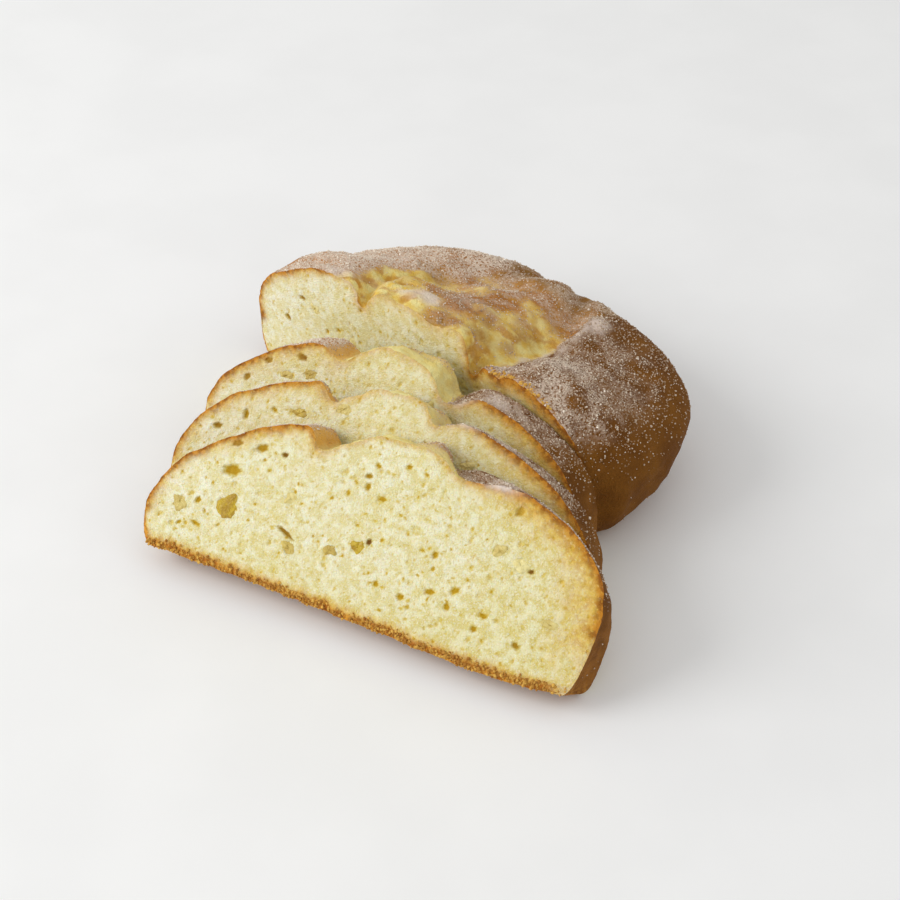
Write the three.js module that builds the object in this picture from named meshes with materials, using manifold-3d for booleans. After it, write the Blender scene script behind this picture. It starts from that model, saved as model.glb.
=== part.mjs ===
// A sliced stollen: the part of the loaf that is left, and three slices that lean back
// against its cut face like a fanned hand of cards.
//
// Millimetres, +Z up. The loaf runs along +Y, away from its cut face, and the slices stand
// in front of it, towards -Y. The origin is the bottom centre of the bounding box.

import * as THREE from 'three';
import { mergeVertices } from 'three/addons/utils/BufferGeometryUtils.js';
import Module from 'manifold-3d';

const wasm = await Module();
wasm.setup();

// Driving dimensions

const SLICE_THICKNESS = 12.5; // the distance along the loaf from cut to cut
const SAW_LOSS = 1; // what the knife takes off a slice, so that slices don't overlap
const CUT_THICKNESS = SLICE_THICKNESS - SAW_LOSS;
const LOAF_LENGTH = 71; // what is left of the loaf, from its cut face to its far end
const LOAF_START = 4 * SLICE_THICKNESS; // one slice between the back one and the loaf is gone

const FRONT_SAG = 1.8; // how far the front slice's bottom edge sags, and how far to the right
const SAG_SKEW = 2.8;
const CRAG_HEIGHT = 0.5; // the roughness of the slices' bottom crust
const LOAF_RELIEF = 1.5; // how much lumpier the loaf is than the slices

// The cross section of the loaf, at cuts along it. at is the distance from the front slice's
// cut face, measured along the loaf before it was sliced. u runs from left to right, with 0
// in the middle of the base. A round of 2 is an ellipse, and more is boxier. A crease lies
// between two strands of dough: its outer side faces the loaf's side.
const STATIONS = [
  {
    at: 0,
    left: 69, leftBelt: 10, leftFoot: 5, leftRound: 1.83,
    right: 68.8, rightBelt: 19, rightFoot: 5, rightRound: 2.65,
    top: 51.2,
    leftCrease: -21, leftDepth: 6.6, leftOuter: 3.4, leftInner: 10,
    rightCrease: 21, rightDepth: 4.2, rightOuter: 11, rightInner: 4,
  },
  {
    at: SLICE_THICKNESS,
    left: 65, leftBelt: 12, leftFoot: 4, leftRound: 1.85,
    right: 70.3, rightBelt: 14, rightFoot: 4, rightRound: 2.1,
    top: 51,
    leftCrease: -18.5, leftDepth: 5.8, leftOuter: 3.4, leftInner: 9,
    rightCrease: 14, rightDepth: 4.6, rightOuter: 6, rightInner: 4,
  },
  {
    at: 2 * SLICE_THICKNESS,
    left: 61.5, leftBelt: 12, leftFoot: 4, leftRound: 1.65,
    right: 68, rightBelt: 18, rightFoot: 5, rightRound: 2.2,
    top: 48.5,
    leftCrease: -18, leftDepth: 5, leftOuter: 5, leftInner: 6,
    rightCrease: 18.5, rightDepth: 7, rightOuter: 8, rightInner: 4,
  },
  {
    at: 3 * SLICE_THICKNESS,
    left: 62, leftBelt: 12, leftFoot: 4, leftRound: 1.7,
    right: 69, rightBelt: 18, rightFoot: 5, rightRound: 2.3,
    top: 48,
    leftCrease: -17, leftDepth: 5, leftOuter: 5, leftInner: 6,
    rightCrease: 18, rightDepth: 6, rightOuter: 6, rightInner: 4,
  },
  {
    at: LOAF_START,
    left: 67.5, leftBelt: 17, leftFoot: 4, leftRound: 2.45,
    right: 71, rightBelt: 18, rightFoot: 7, rightRound: 2.7,
    top: 51,
    leftCrease: -20, leftDepth: 7, leftOuter: 2.4, leftInner: 5,
    rightCrease: 25.5, rightDepth: 8.5, rightOuter: 13, rightInner: 4.5,
  },
  {
    at: LOAF_START + 10,
    left: 68, leftBelt: 17, leftFoot: 5, leftRound: 2.5,
    right: 78, rightBelt: 20, rightFoot: 12, rightRound: 2.5,
    top: 50,
    leftCrease: -24, leftDepth: 6, leftOuter: 7, leftInner: 7,
    rightCrease: 30.5, rightDepth: 8.5, rightOuter: 8, rightInner: 10,
  },
  {
    at: LOAF_START + 30,
    left: 68, leftBelt: 18, leftFoot: 6, leftRound: 2.2,
    right: 83, rightBelt: 25, rightFoot: 20, rightRound: 2.2,
    top: 43,
    leftCrease: -15, leftDepth: 6, leftOuter: 10, leftInner: 8,
    rightCrease: 31, rightDepth: 7, rightOuter: 7, rightInner: 9,
  },
  {
    at: LOAF_START + 48,
    left: 68, leftBelt: 18, leftFoot: 7, leftRound: 2.2,
    right: 86, rightBelt: 26, rightFoot: 23, rightRound: 2.2,
    top: 41,
    leftCrease: -12, leftDepth: 5, leftOuter: 14, leftInner: 12,
    rightCrease: 28, rightDepth: 6, rightOuter: 8, rightInner: 8,
  },
];

// The far end, where the loaf closes in: how full it stays before it does, in plan and height
const END_PLAN_ROUND = 2.4;
const END_HEIGHT_ROUND = 2.2;
const END_FLOOR_ROUND = 3.2;
const FLOOR_REACH = 1.15; // how deep the end would go below the floor, if it weren't flattened there

// Where each slice touches the floor: the middle of its back bottom edge, its turn about the
// vertical and how far it leans back, in degrees. The loaf's cut face is at CUT_Y.
const CUT_X = -11.9;
const CUT_Y = -6.7;
const SLICES = [
  { name: 'slice_front', at: 0, foot: [31, -69.8], yaw: 16.1, lean: 37 },
  { name: 'slice_middle', at: 1, foot: [16.8, -53.1], yaw: 14.2, lean: 32.5 },
  { name: 'slice_back', at: 2, foot: [0.8, -32.1], yaw: 9.2, lean: 24.9 },
];

// How finely the skin is laid out
const BASE_STEPS = 42;
const FOOT_STEPS = 6;
const DOME_STEPS = 78;
const CRUST_RINGS = 4;
const LOAF_RINGS = 24;

// What shows in a cut face: holes left by bubbles, and pieces of candied peel. The numbers are
// the place across and up the face, the size along and across, and the turn in degrees.
const PEEL_PROUD = 0.35; // how far a piece of peel stands out of its cut face
const FACE_PIECES = {
  slice_front: {
    peel: [
      [-44, 18, 6.3, 6.8, 20], [-58.9, 14.8, 5, 4.4, 30], [-25.7, 26.3, 3.6, 3.4, 0],
      [-22.3, 12.8, 4.2, 3.6, 15], [-10.2, 16.2, 3.6, 3, 20], [-2.2, 19.6, 4.4, 3.4, 30],
      [37.2, 31.4, 3.6, 3.2, 0], [44, 29.3, 4.4, 3.8, -35], [56, 17, 5.2, 2.4, -10],
    ],
    holes: [
      [-45.5, 28.4, 7, 3, 8], [-46, 36.2, 3, 2, 20], [-38.2, 37, 4.2, 2.4, 10],
      [-30.8, 37.2, 1.8, 1.6, 0], [-24.5, 16.6, 5.4, 1.6, -24], [0.5, 21.9, 1.8, 1.6, 45],
      [-53.4, 17.2, 2, 2.2, 0], [-52.3, 10.6, 3.4, 1.6, -15], [-4.7, 39.1, 2.2, 1.8, 20],
      [-4.2, 36.2, 2, 2.2, 0], [-2.7, 42.6, 2, 1.6, 0], [5.9, 44.9, 2, 1.8, 0],
      [0.8, 34.2, 2.8, 2, 20], [5.6, 11.6, 2.2, 1.8, 0], [13.7, 10.5, 2.8, 1.8, 0],
      [21.3, 14.5, 3, 2.2, 10], [28.2, 17.1, 3.4, 2, 30], [27.1, 12.2, 2.4, 2, 0],
      [37.6, 13.2, 2.6, 2, 0], [20, 24.5, 2.2, 2, 0], [36.2, 9.1, 2.4, 1.8, 0],
      [39.8, 42.9, 2.8, 2.6, 0], [47.2, 28.6, 1.6, 1.4, 0], [48.7, 8.6, 3, 1.6, -30],
    ],
  },
  slice_middle: {
    peel: [[-27.8, 36.6, 5.4, 2.6, 18], [-14.6, 41.8, 5, 3, 15], [26, 38, 4.4, 3, 20]],
    holes: [[-44.7, 31, 2, 2.8, 0], [-53, 25, 3, 2, 30], [-36, 35, 2.2, 1.8, 0], [12, 40, 2, 1.6, 0]],
  },
  slice_back: {
    peel: [[-35.1, 29.5, 4.6, 2.6, 20], [-27.3, 32.4, 5, 3, 15], [14, 37, 3, 4.4, 20]],
    holes: [[-42.5, 31.6, 2.6, 2, 20], [-31.2, 36.5, 4.2, 1.8, 5], [-49, 24, 3, 1.8, 40]],
  },
  loaf: {
    peel: [[-40.8, 31.5, 3.6, 3.2, 0], [-24, 27, 3, 3.4, 0], [22, 35, 3.4, 4, 30]],
    holes: [
      [-46.5, 33.3, 3.4, 1.4, 10], [-53.9, 22.5, 2.6, 2.2, 0], [-30.6, 28.4, 2, 2, 0],
      [-35.7, 25.5, 2, 1.8, 0], [-20.2, 41, 1.6, 1.6, 0], [9, 33, 2, 2, 0],
    ],
  },
};

const CRUST = new THREE.MeshStandardMaterial({ color: 0x8a5a30, roughness: 0.8, metalness: 0 });
const CRUMB = new THREE.MeshStandardMaterial({ color: 0xe9dfa0, roughness: 0.9, metalness: 0 });

// Smooth pseudo-random relief, from -1 to 1, that has the same value at the same place
function hash(i, j, k) {
  const n = Math.sin(i * 127.1 + j * 311.7 + k * 74.7) * 43758.5453;
  return 2 * (n - Math.floor(n)) - 1;
}

function fade(t) {
  return t * t * (3 - 2 * t);
}

function noise(x, y, z) {
  const [i, j, k] = [x, y, z].map(Math.floor);
  const [fx, fy, fz] = [fade(x - i), fade(y - j), fade(z - k)];
  const { lerp } = THREE.MathUtils;
  const along = (dj, dk) => lerp(hash(i, j + dj, k + dk), hash(i + 1, j + dj, k + dk), fx);
  return lerp(lerp(along(0, 0), along(1, 0), fy), lerp(along(0, 1), along(1, 1), fy), fz);
}

// The sizes of the section at a distance along the loaf, between the stations
function sectionSizes(at) {
  const place = THREE.MathUtils.clamp(at, STATIONS[0].at, STATIONS.at(-1).at);
  const next = Math.max(1, STATIONS.findIndex((station) => station.at >= place));
  const [before, after] = STATIONS.slice(next - 1, next + 1);
  const t = fade((place - before.at) / (after.at - before.at));
  const sizes = {};
  for (const key of Object.keys(before)) {
    sizes[key] = THREE.MathUtils.lerp(before[key], after[key], t);
  }
  return sizes;
}

// How far a crease cuts in at u: one side of it is steeper than the other
function creaseDrop(u, middle, depth, below, above) {
  const width = u < middle ? below : above;
  return depth * Math.exp(-(((u - middle) / width) ** 2));
}

// The top of the section, from the right belt over the dome to the left belt
function domePoint(sizes, turn) {
  const right = turn < Math.PI / 2;
  const half = right ? sizes.right : sizes.left;
  const belt = right ? sizes.rightBelt : sizes.leftBelt;
  const power = 2 / (right ? sizes.rightRound : sizes.leftRound);
  const u = Math.sign(Math.cos(turn)) * half * Math.abs(Math.cos(turn)) ** power;
  const leftDrop = creaseDrop(
    u, sizes.leftCrease, sizes.leftDepth, sizes.leftOuter, sizes.leftInner);
  const rightDrop = creaseDrop(
    u, sizes.rightCrease, sizes.rightDepth, sizes.rightInner, sizes.rightOuter);
  const v = belt + (sizes.top - belt) * Math.sin(turn) ** power - leftDrop - rightDrop;
  return new THREE.Vector2(u, v);
}

// The side below the belt, where it rolls under to the base. side is 1 right and -1 left.
function footPoint(sizes, side, turn) {
  const half = side > 0 ? sizes.right : sizes.left;
  const belt = side > 0 ? sizes.rightBelt : sizes.leftBelt;
  const foot = side > 0 ? sizes.rightFoot : sizes.leftFoot;
  return new THREE.Vector2(
    side * (half - foot * (1 - Math.cos(turn))), belt * (1 - Math.sin(turn)));
}

// The base from left to right. The front slice's sags to the right of the middle, most at its
// front edge, which stands clear of the floor.
function basePoint(at, left, right, t) {
  const point = left.clone().lerp(right, t);
  const sag = FRONT_SAG * Math.max(0, 1 - at / CUT_THICKNESS);
  point.y -= sag * Math.sin(Math.PI * t ** SAG_SKEW);
  return point;
}

// Points at even distances along a line of points, without its last one
function evenly(points, steps) {
  const lengths = [0];
  for (let i = 1; i < points.length; i += 1) {
    lengths.push(lengths[i - 1] + points[i].distanceTo(points[i - 1]));
  }
  const even = [];
  let i = 1;
  for (let step = 0; step < steps; step += 1) {
    const wanted = (lengths[points.length - 1] * step) / steps;
    while (lengths[i] < wanted) i += 1;
    const t = (wanted - lengths[i - 1]) / (lengths[i] - lengths[i - 1]);
    even.push(points[i - 1].clone().lerp(points[i], t));
  }
  return even;
}

// The whole outline, anticlockwise from the right end of the base when seen from the front
function outline(at) {
  const sizes = sectionSizes(at);
  const fine = 240;
  const parts = Array.from({ length: fine + 1 }, (_, i) => i / fine);
  const rightFoot = parts.map((t) => footPoint(sizes, 1, (1 - t) * Math.PI / 2));
  const dome = parts.map((t) => domePoint(sizes, t * Math.PI));
  const leftFoot = parts.map((t) => footPoint(sizes, -1, t * Math.PI / 2));
  const base = parts.map((t) => basePoint(at, leftFoot[fine], rightFoot[0], t));
  return [
    ...evenly(rightFoot, FOOT_STEPS),
    ...evenly(dome, DOME_STEPS),
    ...evenly(leftFoot, FOOT_STEPS),
    ...evenly(base, BASE_STEPS),
  ];
}

// The two triangles between each pair of neighbours on one ring and the next
function band(from, to, count) {
  const index = [];
  for (let i = 0; i < count; i += 1) {
    const next = (i + 1) % count;
    index.push(from + i, to + i, to + next, from + i, to + next, from + next);
  }
  return index;
}

// A closed skin over rings of points, front to back. The first ring is the rim of a flat cut
// face, and so is the last, unless it closes in on a tip.
function skin(rings, tip) {
  const count = rings[0].length;
  const index = rings.slice(1).flatMap((_, i) => band(i * count, (i + 1) * count, count));
  const flat = (ring) => ring.map(({ x, z }) => new THREE.Vector2(x, z));
  const face = THREE.ShapeUtils.triangulateShape(flat(rings[0]), []);
  index.push(...face.flat());
  const last = (rings.length - 1) * count;
  const vertices = rings.flat();
  if (tip) {
    vertices.push(tip);
    for (let i = 0; i < count; i += 1) {
      index.push(last + i, last + count, last + ((i + 1) % count));
    }
  } else {
    const back = THREE.ShapeUtils.triangulateShape(flat(rings.at(-1)), []);
    index.push(...back.flatMap(([a, b, c]) => [last + a, last + c, last + b]));
  }
  const geometry = new THREE.BufferGeometry().setFromPoints(vertices);
  geometry.setIndex(index);
  return geometry;
}

// Relief of the crust: broad lumps of dough and a finer baked grain. The torn dough between
// the creases is the lumpiest.
function crustRelief(u, v, along) {
  const torn = 1 + 1.2 * Math.exp(-((u / 26) ** 2));
  const lumps = noise(u / 13, v / 13, along / 11);
  const grain = noise(u / 4.5 + 40, v / 4.5, along / 4.5);
  return 0.6 * torn * lumps + 0.3 * grain;
}

// Moves an outline's points along its own normals by the crust's relief. Those on the base stay.
function weathered(points, along, amount = 1) {
  const count = points.length;
  return points.map((point, i) => {
    const across = points[(i + 1) % count].clone().sub(points[(i + count - 1) % count]);
    const lift = THREE.MathUtils.smoothstep(point.y, 0, 8);
    const push = amount * lift * crustRelief(point.x, point.y, along);
    return new THREE.Vector2(
      point.x + (across.y / across.length()) * push,
      Math.max(Math.min(point.y, 0), point.y - (across.x / across.length()) * push));
  });
}

// The crags of a slice's bottom crust, always up from its base
function crag(u, along) {
  return CRAG_HEIGHT * (0.5 + 0.5 * noise(u / 3.1, 7, along / 3.1));
}

function sliceGeometry(at) {
  const rings = [];
  for (let ring = 0; ring <= CRUST_RINGS; ring += 1) {
    const along = (CUT_THICKNESS * ring) / CRUST_RINGS;
    rings.push(weathered(outline(at + along), at + along).map(({ x, y }) => {
      const rough = 1 - THREE.MathUtils.smoothstep(y, 0, 6);
      return new THREE.Vector3(x, along, y + rough * crag(x, at + along));
    }));
  }
  return skin(rings);
}

// How much is left of a size near the loaf's far end
function closing(t, round) {
  return (1 - t ** round) ** (1 / round);
}

function beltHeight(at) {
  const { leftBelt, rightBelt } = sectionSizes(at);
  return (leftBelt + rightBelt) / 2;
}

// An outline drawn in where the loaf closes. Its base stays flat on the floor for most of the way.
function loafRing(at, along) {
  const t = along / LOAF_LENGTH;
  const plan = closing(t, END_PLAN_ROUND);
  const above = closing(t, END_HEIGHT_ROUND);
  const below = Math.min(1, FLOOR_REACH * closing(t, END_FLOOR_ROUND));
  const belt = beltHeight(at + along);
  return weathered(outline(at + along), at + along, LOAF_RELIEF * plan).map(({ x, y }) => (
    new THREE.Vector3(x * plan, along, belt + (y - belt) * (y > belt ? above : below))));
}

function loafGeometry(at) {
  const rings = [];
  for (let ring = 0; ring < LOAF_RINGS; ring += 1) {
    rings.push(loafRing(at, LOAF_LENGTH * Math.sin((ring / LOAF_RINGS) * Math.PI / 2)));
  }
  return skin(rings, new THREE.Vector3(0, LOAF_LENGTH, beltHeight(at + LOAF_LENGTH)));
}

// Joining and cutting

function toSolid(geometry) {
  const bare = geometry.clone();
  bare.deleteAttribute('normal');
  bare.deleteAttribute('uv');
  const merged = mergeVertices(bare);
  return new wasm.Manifold(new wasm.Mesh({
    numProp: 3,
    vertProperties: new Float32Array(merged.attributes.position.array),
    triVerts: new Uint32Array(merged.index.array),
  }));
}

function toGeometry(solid) {
  const { vertProperties, triVerts } = solid.getMesh();
  const geometry = new THREE.BufferGeometry();
  geometry.setAttribute('position', new THREE.BufferAttribute(vertProperties, 3));
  geometry.setIndex(new THREE.BufferAttribute(triVerts, 1));
  return geometry;
}

// A lump whose middle lies at a depth behind the cut face, which is the plane y = 0
function lump([u, v, long, wide, turn], depth, thick, detail) {
  const geometry = new THREE.IcosahedronGeometry(1, detail);
  geometry.scale(long / 2, thick, wide / 2);
  geometry.rotateY(THREE.MathUtils.degToRad(-turn));
  geometry.translate(u, depth, v);
  return toSolid(geometry);
}

// Cuts the holes into a cut face and sets the peel in it, a little proud
function withPieces(geometry, { peel, holes }) {
  let solid = toSolid(geometry);
  for (const piece of holes) solid = solid.subtract(lump(piece, 0, 0.35 * piece[3], 1));
  for (const piece of peel) solid = solid.add(lump(piece, PEEL_PROUD, 2 * PEEL_PROUD, 0));
  return toGeometry(solid);
}

function namedMesh(name, geometry, material) {
  const mesh = new THREE.Mesh(geometry, material.clone());
  mesh.name = name;
  return mesh;
}

function buildSlice({ name, at, foot, yaw, lean }) {
  const mesh = namedMesh(name, withPieces(sliceGeometry(at * SLICE_THICKNESS), FACE_PIECES[name]), CRUMB);
  mesh.position.y = SAW_LOSS - SLICE_THICKNESS;
  const leaning = new THREE.Group().add(mesh);
  leaning.rotation.x = THREE.MathUtils.degToRad(-lean);
  const standing = new THREE.Group().add(leaning);
  standing.position.set(...foot, 0);
  standing.rotation.z = THREE.MathUtils.degToRad(yaw);
  return standing;
}

function buildLoaf() {
  const mesh = namedMesh('loaf', withPieces(loafGeometry(LOAF_START), FACE_PIECES.loaf), CRUST);
  mesh.position.set(CUT_X, CUT_Y, 0);
  return mesh;
}

const stollen = new THREE.Group();
stollen.add(buildLoaf(), ...SLICES.map(buildSlice));

const box = new THREE.Box3().setFromObject(stollen, true);
const middle = box.getCenter(new THREE.Vector3());
stollen.position.set(-middle.x, -middle.y, -box.min.z);

export default stollen;
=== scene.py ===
"""How the sliced stollen looks.

Each solid of the frame is replaced by a dense skin over the same section: cut faces with pores,
crust with baked grain, torn dough between the strands, and a crumbly bottom. Sugar grains,
crumbs and candied peel are laid on and in it.

Lengths are millimetres until a mesh is made. A place on a piece is (u, along, v): u across the
loaf from left to right, along from the piece's cut face to its back, v up from its base.
"""
import math
from types import SimpleNamespace

import bpy
import numpy as np
from mathutils import Matrix, Vector
from mathutils.kdtree import KDTree


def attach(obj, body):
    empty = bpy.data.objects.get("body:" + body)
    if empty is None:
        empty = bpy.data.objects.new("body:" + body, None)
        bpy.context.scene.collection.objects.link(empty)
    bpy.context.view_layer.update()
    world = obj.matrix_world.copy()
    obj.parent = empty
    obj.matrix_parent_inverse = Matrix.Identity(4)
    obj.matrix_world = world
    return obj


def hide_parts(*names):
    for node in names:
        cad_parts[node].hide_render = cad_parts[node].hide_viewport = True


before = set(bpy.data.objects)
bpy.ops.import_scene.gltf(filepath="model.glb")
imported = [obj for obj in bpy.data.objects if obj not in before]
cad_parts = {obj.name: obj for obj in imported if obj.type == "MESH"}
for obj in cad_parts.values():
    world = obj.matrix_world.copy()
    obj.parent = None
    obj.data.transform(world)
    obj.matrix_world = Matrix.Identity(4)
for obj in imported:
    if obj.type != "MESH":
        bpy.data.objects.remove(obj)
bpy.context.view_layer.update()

MM = 0.001
RANDOM_SEED = 4290

# The section of the loaf, with the names and values that part.mjs gives them

SLICE_THICKNESS = 12.5
CUT_THICKNESS = 11.5
LOAF_LENGTH = 71
LOAF_START = 4 * SLICE_THICKNESS
FRONT_SAG = 1.8
SAG_SKEW = 2.8
CRAG_HEIGHT = 0.5
LOAF_RELIEF = 1.5
END_PLAN_ROUND = 2.4
END_HEIGHT_ROUND = 2.2
END_FLOOR_ROUND = 3.2
FLOOR_REACH = 1.15

# at: left, its belt, foot and round; right, likewise; top; left crease, its depth, outer and
# inner width; right crease, its depth, inner and outer width
STATIONS = {
    0: (69, 10, 5, 1.83, 68.8, 19, 5, 2.65, 51.2, -21, 6.6, 3.4, 10, 21, 4.2, 4, 11),
    12.5: (65, 12, 4, 1.85, 70.3, 14, 4, 2.1, 51, -18.5, 5.8, 3.4, 9, 14, 4.6, 4, 6),
    25: (61.5, 12, 4, 1.65, 68, 18, 5, 2.2, 48.5, -18, 5, 5, 6, 18.5, 7, 4, 8),
    37.5: (62, 12, 4, 1.7, 69, 18, 5, 2.3, 48, -17, 5, 5, 6, 18, 6, 4, 6),
    50: (67.5, 17, 4, 2.45, 71, 18, 7, 2.7, 51, -20, 7, 2.4, 5, 25.5, 8.5, 4.5, 13),
    60: (68, 17, 5, 2.5, 78, 20, 12, 2.5, 50, -24, 6, 7, 7, 30.5, 8.5, 10, 8),
    80: (68, 18, 6, 2.2, 83, 25, 20, 2.2, 43, -15, 6, 10, 8, 31, 7, 9, 7),
    98: (68, 18, 7, 2.2, 86, 26, 23, 2.2, 41, -12, 5, 14, 12, 28, 6, 8, 8),
}
LEFT, RIGHT, TOP, LEFT_CREASE, RIGHT_CREASE = 0, 4, 8, 9, 13

# Where each piece stands: how far along the loaf its cut face was, the middle of its bottom edge
# (a slice's back one), its turn and its lean back
ORIGIN_SHIFT = (-8.8167, 16.0607)
STANDS = {
    "loaf": {"at": LOAF_START, "foot": (-11.9, -6.7), "yaw": 0, "lean": 0},
    "slice_front": {"at": 0, "foot": (31, -69.8), "yaw": 16.1, "lean": 37},
    "slice_middle": {"at": 12.5, "foot": (16.8, -53.1), "yaw": 14.2, "lean": 32.5},
    "slice_back": {"at": 25, "foot": (0.8, -32.1), "yaw": 9.2, "lean": 24.9},
}

# How finely each skin is laid out: columns across, rings along, rows up its cut face and its back
DETAIL = {
    "loaf": (330, 130, 90, 0), "slice_front": (480, 20, 124, 30),
    "slice_middle": (400, 20, 90, 40), "slice_back": (400, 20, 90, 40),
}


# Numbers

def fade(t):
    return t * t * (3 - 2 * t)


def ramp(value, low, high):
    return fade(np.clip((value - low) / (high - low), 0, 1))


def lattice(i, j, k):
    n = np.sin(i * 127.1 + j * 311.7 + k * 74.7) * 43758.5453
    return 2 * (n - np.floor(n)) - 1


def noise(x, y, z):
    """Smooth relief from -1 to 1, the same at the same place as in part.mjs."""
    x, y, z = np.broadcast_arrays(*(np.asarray(c, float) for c in (x, y, z)))
    i, j, k = np.floor(x), np.floor(y), np.floor(z)
    fx, fy, fz = fade(x - i), fade(y - j), fade(z - k)

    def across(dj, dk):
        low = lattice(i, j + dj, k + dk)
        return low + (lattice(i + 1, j + dj, k + dk) - low) * fx

    low = across(0, 0) + (across(1, 0) - across(0, 0)) * fy
    high = across(0, 1) + (across(1, 1) - across(0, 1)) * fy
    return low + (high - low) * fz


def rough(places, size, seed, octaves=3):
    """Relief whose largest lumps have this size, with finer ones on them."""
    total = 0
    for octave in range(octaves):
        p = places * (2 ** octave) / np.asarray(size, float) + 31.7 * seed + 5.3 * octave
        total = total + noise(p[..., 0], p[..., 1], p[..., 2]) / 2 ** octave
    return total


# The section

def sizes_at(at):
    """The section's sizes at one distance along the loaf, or an array of them."""
    marks = np.array(list(STATIONS))
    rows = np.array(list(STATIONS.values()), float)
    place = np.clip(at, marks[0], marks[-1])
    after = np.clip(np.searchsorted(marks, place), 1, len(marks) - 1)
    t = fade((place - marks[after - 1]) / (marks[after] - marks[after - 1]))
    return rows[after - 1] + (rows[after] - rows[after - 1]) * np.asarray(t)[..., None]


def crease_drop(u, crease):
    middle, depth, below, above = crease
    width = np.where(u < middle, below, above)
    return depth * np.exp(-((u - middle) / width) ** 2)


def section(at, columns):
    """The base line and the top line of the section, left to right, as points (u, v)."""
    sizes = sizes_at(at)
    turn = np.linspace(math.pi, 0, 1441)
    right = turn < math.pi / 2
    half, belt, _, round_ = np.where(right, sizes[RIGHT:TOP, None], sizes[:RIGHT, None])
    cosine = np.cos(turn)
    u = np.sign(cosine) * half * np.abs(cosine) ** (2 / round_)
    v = belt + (sizes[TOP] - belt) * np.sin(turn).clip(0) ** (2 / round_)
    v = v - crease_drop(u, sizes[LEFT_CREASE:RIGHT_CREASE]) - crease_drop(u, sizes[RIGHT_CREASE:])
    roll = np.linspace(0, math.pi / 2, 121)
    left_u = -(sizes[LEFT] - sizes[LEFT + 2] * (1 - np.cos(roll)))
    right_u = sizes[RIGHT] - sizes[RIGHT + 2] * (1 - np.cos(roll))
    t = np.linspace(0, 1, 241)
    sag = FRONT_SAG * max(0, 1 - at / CUT_THICKNESS) * np.sin(math.pi * t ** SAG_SKEW)
    low_u = np.concatenate([left_u, left_u[-1] + (right_u[-1] - left_u[-1]) * t, right_u[::-1]])
    low_v = np.concatenate([sizes[LEFT + 1] * (1 - np.sin(roll)), -sag,
                            sizes[RIGHT + 1] * (1 - np.sin(roll[::-1]))])
    lengths = np.concatenate([[0], np.cumsum(np.hypot(np.diff(u), np.diff(v)))])
    even = np.linspace(0, lengths[-1], columns + 1)
    top = np.stack([np.interp(even, lengths, u), np.interp(even, lengths, v)], -1)
    low = np.stack([top[:, 0], np.interp(top[:, 0], low_u, low_v)], -1)
    low[[0, -1]] = top[[0, -1]]
    return low, top


def weathered(loop, along, amount):
    """Moves a closed outline along its normals by the crust's broad relief, as part.mjs does."""
    across = np.roll(loop, -1, 0) - np.roll(loop, 1, 0)
    across /= np.linalg.norm(across, axis=1, keepdims=True)
    u, v = loop.T
    torn = 1 + 1.2 * np.exp(-(u / 26) ** 2)
    relief = 0.6 * torn * noise(u / 13, v / 13, along / 11)
    relief = relief + 0.3 * noise(u / 4.5 + 40, v / 4.5, along / 4.5)
    push = amount * ramp(v, 0, 8) * relief
    return np.stack([u + across[:, 1] * push,
                     np.maximum(np.minimum(v, 0), v - across[:, 0] * push)], -1)


def closing(t, round_):
    return (1 - t ** round_) ** (1 / round_)


def belt_height(at):
    sizes = sizes_at(at)
    return (sizes[LEFT + 1] + sizes[RIGHT + 1]) / 2


def ring(name, along, columns):
    """One closed outline of a piece, anticlockwise from the left end, as places."""
    at = STANDS[name]["at"] + along
    low, top = section(at, columns)
    loop = np.concatenate([low, top[-2:0:-1]])
    if name == "loaf":
        t = along / LOAF_LENGTH
        plan = closing(t, END_PLAN_ROUND)
        loop = weathered(loop, at, LOAF_RELIEF * plan)
        belt = belt_height(at)
        above = closing(t, END_HEIGHT_ROUND)
        below = min(1, FLOOR_REACH * closing(t, END_FLOOR_ROUND))
        squeeze = np.where(loop[:, 1] > belt, above, below)
        loop = np.stack([loop[:, 0] * plan, belt + (loop[:, 1] - belt) * squeeze], -1)
    else:
        loop = weathered(loop, at, 1)
        crags = CRAG_HEIGHT * (0.5 + 0.5 * noise(loop[:, 0] / 3.1, 7, at / 3.1))
        loop[:, 1] += (1 - ramp(loop[:, 1], 0, 6)) * crags
    return np.insert(loop, 1, along, -1)


# What lies where on the crust. Each patch is u, along, its reach in both, and its strength.

GLAZE = {
    "loaf": [
        (-35, 2, 6, 2.6, 1), (-30, 4, 4, 3, 0.7), (-38, 11, 7, 5, 0.35), (-35, 28, 8, 7, 0.5),
        (0, 7.5, 6, 3.2, 1.3), (-6, 6.5, 4, 2.4, 0.9), (30.5, 17, 1.8, 5, 0.7),
        (31, 27, 1.8, 6, 0.8), (32, 38, 2.4, 6, 1), (33, 47, 4, 5, 1), (44, 18, 9, 3, 0.25),
        (40, 3, 6, 2, 0.3), (-20, 14, 6, 6, 0.5), (-12, 26, 5, 6, 0.35), (6, 20, 6, 4, 0.3),
    ],
    "slice_front": [(33, 4, 5, 5, 1), (38, 8, 4, 4, 0.5)],
    "slice_middle": [(35.5, 4, 5, 5, 0.9), (42, 6, 4, 4, 0.4)],
    "slice_back": [(33, 5, 6, 6, 1), (40, 5, 4, 4, 0.6)],
}
HOLLOWS = {
    "loaf": [
        (-20, 35, 5, 4, 1.5), (-19, 24, 4, 6, 0.9), (12, 2.5, 4, 3, 1.3), (8, 0, 4, 3, 0.8),
        (20, 11, 4, 4, 0.9), (23, 27, 4, 5, 0.8), (17, 17, 3, 4, 0.7), (-14, 12, 4, 4, 0.8),
        (9.5, 0, 4, 3.5, 1.6), (26.5, 1, 2.2, 5, 1.2),
    ],
    "slice_front": [(16.5, 7, 3, 3, 1)],
}
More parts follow.
